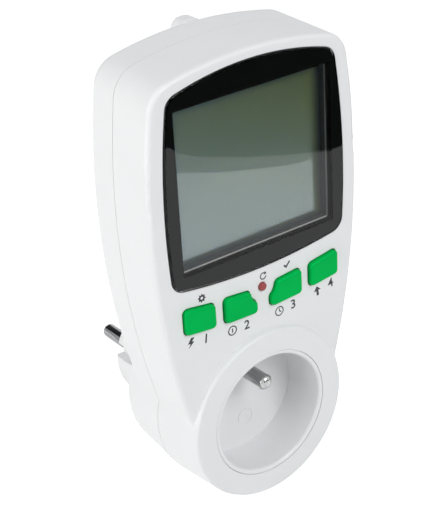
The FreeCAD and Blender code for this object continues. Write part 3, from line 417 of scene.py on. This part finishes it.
socket_pin_nickel = drawn_metal(
    "socket_pin_nickel", srgb(190, 191, 190), 0.09, along=(1.0, 0.06, 1.0), streak=0.3 * MM,
    patch=1.6 * MM, tarnish=0.25, depth=0.0006 * MM,
)
spring_metal = drawn_metal("spring_metal", srgb(150, 152, 156), 0.3)
screw_zinc = drawn_metal("screw_zinc", srgb(170, 172, 176), 0.3, streak=0.3 * MM)

finishes = {
    "housing": white_shell,
    "inner_plastic": grey_inner,
    "lens": lens_clear,
    "lens_border": black_print,
    "display_frame": black_frame,
    "display_glass": display_glass,
    "display_film": display_front,
    "display_reflector": silver_film,
    "foam": foam_grey,
    "elastomer": elastomer_band,
    "key": green_key,
    "reset": red_button,
    "silicone": silicone_grey,
    "carbon": carbon_black,
    "board": board_green,
    "chip": chip_black,
    "can": can_metal,
    "film_capacitor": film_yellow,
    "varistor": varistor_blue,
    "resistor": resistor_teal,
    "shunt": shunt_metal,
    "cable": cable_grey,
    "contact_metal": brass_metal,
    "pin_metal": pin_nickel,
    "earth_metal": earth_nickel,
    "spring_steel": spring_metal,
    "screw_steel": screw_zinc,
}
# Nodes with a finish of their own within their slot
own_finish = {"socket_insert": white_insert, "socket_earth_pin": socket_pin_nickel}

for entry in frame["record"]["subparts"]:
    name = entry["node"]
    mesh = nodes[name].data
    mesh.materials.clear()
    mesh.materials.append(own_finish.get(name, finishes[entry["material_slot"]]))


# Printed marks: flat shapes about 2.3 units high, x right and y up, centred on the origin, which
# are scaled as they are printed

def circle(radius, steps=32):
    turns = [2 * math.pi * i / steps for i in range(steps)]
    return [(radius * math.cos(t), radius * math.sin(t)) for t in turns]


def arc(radius, start, end, steps=24):
    """Points on an arc from one angle to another, in degrees."""
    turns = [math.radians(start + (end - start) * i / steps) for i in range(steps + 1)]
    return [(radius * math.cos(t), radius * math.sin(t)) for t in turns]


def bar(x0, y0, x1, y1, width):
    """Straight stroke of a width, from one point to another."""
    along = Vector((x1 - x0, y1 - y0)).normalized() * width / 2
    across = Vector((-along.y, along.x))
    return [
        (x0 - across.x, y0 - across.y), (x1 - across.x, y1 - across.y),
        (x1 + across.x, y1 + across.y), (x0 + across.x, y0 + across.y),
    ]


def gear(teeth=8, outer=1.15, root=0.85, hole=0.4):
    rim = []
    for i in range(teeth * 4):
        radius = outer if i % 4 < 2 else root
        t = 2 * math.pi * (i - 0.5) / (teeth * 4)
        rim.append((radius * math.cos(t), radius * math.sin(t)))
    return [rim, circle(hole)]


def bolt():
    return [[
        (-0.1, 1.2), (0.75, 1.2), (0.2, 0.3), (0.8, 0.3), (-0.5, -1.2), (-0.1, -0.15),
        (-0.75, -0.15),
    ]]


def coin():
    return [circle(1.15), circle(0.88), bar(0.0, -0.5, 0.0, 0.5, 0.28)]


def clock():
    hand = [(-0.12, 0.7), (0.12, 0.7), (0.12, 0.1), (0.55, -0.25), (0.42, -0.45), (-0.12, -0.02)]
    return [circle(1.15), circle(0.9), hand]


def arrow_up():
    return [[
        (0.0, 1.2), (0.95, 0.1), (0.3, 0.1), (0.3, -1.1), (-0.3, -1.1), (-0.3, 0.1),
        (-0.95, 0.1),
    ]]


def tick():
    return [[(-1.1, 0.05), (-0.75, 0.4), (-0.3, -0.1), (0.8, 1.0), (1.1, 0.68), (-0.3, -0.78)]]


def loop_arrow(radius=0.85, width=0.3, start=60, end=350, head_half=0.5, head_length=0.75):
    band = arc(radius + width / 2, start, end) + arc(radius - width / 2, end, start)
    tip = math.radians(start)
    ahead = Vector((math.sin(tip), -math.cos(tip)))
    out = Vector((math.cos(tip), math.sin(tip)))
    head = [
        out * (radius + head_half), out * radius + ahead * head_length, out * (radius - head_half),
    ]
    return [band, [tuple(point) for point in head]]


def flat_curve(name, loops, scale):
    curve = bpy.data.curves.new(name, "CURVE")
    curve.dimensions = "2D"
    curve.fill_mode = "BOTH"
    curve.extrude = print_thickness / 2
    for loop in loops:
        spline = curve.splines.new("POLY")
        spline.points.add(len(loop) - 1)
        for point, (x, y) in zip(spline.points, loop):
            point.co = (x * scale, y * scale, 0.0, 1.0)
        spline.use_cyclic_u = True
    return curve


def numeral(name, text, size):
    curve = bpy.data.curves.new(name, "FONT")
    curve.body = text
    curve.size = size
    curve.align_x = "CENTER"
    curve.align_y = "CENTER"
    curve.offset = numeral_weight
    curve.extrude = print_thickness / 2
    return curve


def print_mark(name, curve, x, z, slant):
    """Turns a flat curve to the front face, slants it and makes it a mesh there."""
    drawn = bpy.data.objects.new(name + "_drawn", curve)
    bpy.context.scene.collection.objects.link(drawn)
    bpy.context.view_layer.update()
    settled = drawn.evaluated_get(bpy.context.evaluated_depsgraph_get())
    mesh = bpy.data.meshes.new_from_object(settled)
    bpy.data.objects.remove(drawn)
    upright = Matrix.Rotation(math.radians(90), 4, "X")
    turn = Matrix.Rotation(-slant, 4, "Y")
    stand = Matrix.Translation((x, face_y - print_thickness / 2 + print_sink, z))
    mesh.transform(stand @ turn @ upright)
    mesh.materials.clear()
    mesh.materials.append(mark_ink)
    piece = bpy.data.objects.new(name, mesh)
    bpy.context.scene.collection.objects.link(piece)
    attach(piece, "root")


# Below the keys: a picture and a numeral each; side, place, slant, picture and numeral
lower_marks = [
    (-1, outer_mark, outer_slant, bolt(), "1"),
    (-1, inner_mark, inner_slant, coin(), "2"),
    (1, inner_mark, inner_slant, clock(), "3"),
    (1, outer_mark, outer_slant, arrow_up(), "4"),
]
for side, (x, z), slant, loops, text in lower_marks:
    slant *= side
    rise = mark_step * math.sin(slant)
    run = mark_step * math.cos(slant)
    picture = flat_curve("picture", loops, picture_scale)
    figure = numeral("number", text, numeral_size)
    print_mark("mark_picture_" + text, picture, side * x - run, z - rise, slant)
    print_mark("mark_number_" + text, figure, side * x + run, z + rise, slant)

# Above the keys: name, place, slant and picture
upper_marks = [
    ("mark_settings", settings_mark, -outer_slant, gear()),
    ("mark_restart", restart_mark, 0.0, loop_arrow()),
    ("mark_accept", accept_mark, inner_slant, tick()),
]
for name, (x, z), slant, loops in upper_marks:
    print_mark(name, flat_curve("picture", loops, small_picture_scale), x, z, slant)


# Window

def window_line():
    """Pale line round the window, at the step behind the lens; its upright sides are dimmer,
    painted shade.
    """
    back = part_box("lens_border")[1].y
    line = bpy.data.meshes.new("window_line")
    corners = []
    for y in (back, back + edge_line_depth):
        for grow in (-edge_line_inset, edge_line_width):
            half = window_half_width + grow
            low = window_low - grow
            high = window_high + grow
            corners += [(-half, y, low), (half, y, low), (half, y, high), (-half, y, high)]
    faces = []
    # Sides below, at the right, above and at the left, with four faces each
    for i in range(4):
        j = (i + 1) % 4
        faces += [
            (i, j, j + 4, i + 4), (j + 8, i + 8, i + 12, j + 12),
            (j, i, i + 8, j + 8), (i + 4, j + 4, j + 12, i + 12),
        ]
    line.from_pydata(corners, [], faces)
    line.materials.append(edge_line)
    line.materials.append(edge_line_painted_shade)
    for face in line.polygons:
        side = face.index // 4
        # The sides at the right and left take the darker copy, painted shade
        face.material_index = side % 2
    piece = bpy.data.objects.new("window_line", line)
    bpy.context.scene.collection.objects.link(piece)
    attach(piece, "root")


def near_window(x, z, reach):
    """Whether a point is in the window or within a reach of it."""
    return abs(x) < window_half_width + reach and window_low - reach < z < window_high + reach


def border_gloss():
    """Black gloss film over the border: the border's outline, drawn in from the lens's rounded
    edge and set at the lens's front, with a wider window.
    """
    low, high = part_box("lens_border")
    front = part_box("display_lens")[0].y
    middle = (low + high) / 2
    half = (high - low) / 2
    shape = bmesh.new()
    shape.from_mesh(nodes["lens_border"].data)
    for vertex in shape.verts:
        x, y, z = vertex.co
        if near_window(x, z, gloss_inset):
            x_scale = 1 + gloss_margin / window_half_width
            z_scale = 1 + 2 * gloss_margin / (window_high - window_low)
            z_middle = (window_low + window_high) / 2
        else:
            x_scale = 1 - gloss_inset / half.x
            z_scale = 1 - gloss_inset / half.z
            z_middle = middle.z
        depth = front - gloss_proud if y < middle.y else front + gloss_sink
        vertex.co = (x * x_scale, depth, z_middle + (z - z_middle) * z_scale)
    mesh = bpy.data.meshes.new("border_gloss")
    shape.to_mesh(mesh)
    shape.free()
    mesh.materials.clear()
    mesh.materials.append(black_gloss)
    piece = bpy.data.objects.new("border_gloss", mesh)
    bpy.context.scene.collection.objects.link(piece)
    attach(piece, "root")


window_line()
border_gloss()


# Studio

def seen_directly(tree):
    """1 for camera, glossy and transmission rays, else 0."""
    path = tree.nodes.new("ShaderNodeLightPath")
    seen = calculate(tree, "MAXIMUM", path.outputs["Is Camera Ray"], path.outputs["Is Glossy Ray"])
    return calculate(tree, "MAXIMUM", seen, path.outputs["Is Transmission Ray"])


def stage_plane(name, corners, material):
    mesh = bpy.data.meshes.new(name)
    mesh.from_pydata(corners, [], [tuple(range(len(corners)))])
    mesh.materials.append(material)
    plane = bpy.data.objects.new(name, mesh)
    bpy.context.scene.collection.objects.link(plane)
    return plane


def floor_material():
    """Pale floor that looks white and still takes the shadow."""
    material, tree, shader = new_material("pale_floor")
    shader.inputs["Roughness"].default_value = 0.9
    shader.inputs["Specular IOR Level"].default_value = 0.0
    shader.inputs["Base Color"].default_value = (floor_tone, floor_tone, floor_tone, 1.0)
    shader.inputs["Emission Color"].default_value = (1.0, 1.0, 1.0, 1.0)
    glow = spread(tree, seen_directly(tree), (0.0, 1.0), 0.0, floor_glow)
    tree.links.new(glow, shader.inputs["Emission Strength"])
    return material


def card_material(name, tone):
    material, _, shader = new_material(name)
    shader.inputs["Base Color"].default_value = (tone, tone, tone, 1.0)
    shader.inputs["Roughness"].default_value = 0.9
    shader.inputs["Specular IOR Level"].default_value = 0.0
    return material


def reflected_only(plane):
    """Leaves a plane to glossy and transmission rays alone."""
    plane.visible_camera = False
    plane.visible_diffuse = False
    plane.visible_shadow = False


def lamp(name, position, size, power, colour):
    """Square soft box that faces the middle of the object."""
    data = bpy.data.lights.new(name, "AREA")
    data.size = size
    data.energy = power
    data.color = colour
    light = bpy.data.objects.new(name, data)
    bpy.context.scene.collection.objects.link(light)
    light.location = position
    aim = (cad_low + cad_high) / 2 - Vector(position)
    light.rotation_mode = "QUATERNION"
    light.rotation_quaternion = aim.to_track_quat("-Z", "Y")
    light.visible_camera = False


def floor_and_cards():
    ground = cad_low.z - floor_gap
    half = floor_half
    outline = ((-half, -half), (half, -half), (half, half), (-half, half))
    stage_plane("floor", [(x, y, ground) for x, y in outline], floor_material())

    near = [Vector((x, y, ground + card_lift)) for x, y in card_edge]
    along = (near[-1] - near[0]).normalized() * card_reach
    away = Vector((along.y, -along.x, 0.0))
    near = [near[0] - along] + near + [near[-1] + along]
    black = card_material("black_card", card_tone)
    reflected_only(stage_plane("dark_card", near + [near[-1] + away, near[0] + away], black))

    grey = card_material("grey_panel", panel_tone)
    for name, (x0, z0), (x1, z1), y in dark_panels:
        corners = [(x0, y, z0), (x1, y, z0), (x1, y, z1), (x0, y, z1)]
        reflected_only(stage_plane(name, corners, grey))


def surroundings():
    """Soft light from all round, which looks white where it is seen directly."""
    world = bpy.data.worlds.new("studio")
    world.use_nodes = True
    tree = world.node_tree
    tree.nodes.clear()
    output = tree.nodes.new("ShaderNodeOutputWorld")
    mix = tree.nodes.new("ShaderNodeMixShader")
    soft = tree.nodes.new("ShaderNodeBackground")
    soft.inputs["Color"].default_value = sky_colour
    soft.inputs["Strength"].default_value = sky_strength
    white = tree.nodes.new("ShaderNodeBackground")
    white.inputs["Color"].default_value = (1.0, 1.0, 1.0, 1.0)
    white.inputs["Strength"].default_value = 1.0
    tree.links.new(seen_directly(tree), mix.inputs["Fac"])
    tree.links.new(soft.outputs["Background"], mix.inputs[1])
    tree.links.new(white.outputs["Background"], mix.inputs[2])
    tree.links.new(mix.outputs["Shader"], output.inputs["Surface"])
    bpy.context.scene.world = world


def photo_camera():
    data = bpy.data.cameras.new("photo_camera")
    data.sensor_fit = "HORIZONTAL"
    data.sensor_width = sensor
    data.lens = sensor * focal_pixels / image_width
    data.shift_x = (image_width / 2 - principal_x) / image_width
    data.shift_y = (principal_y - image_height / 2) / image_width
    data.clip_start = clip_near
    data.clip_end = clip_far
    camera = bpy.data.objects.new("photo_camera", data)
    bpy.context.scene.collection.objects.link(camera)
    camera.location = camera_place
    camera.rotation_euler = [math.radians(angle) for angle in camera_turn]
    bpy.context.scene.camera = camera


floor_and_cards()
surroundings()
for box in soft_boxes:
    lamp(*box)
photo_camera()
bpy.context.scene.view_settings.view_transform = "Standard"
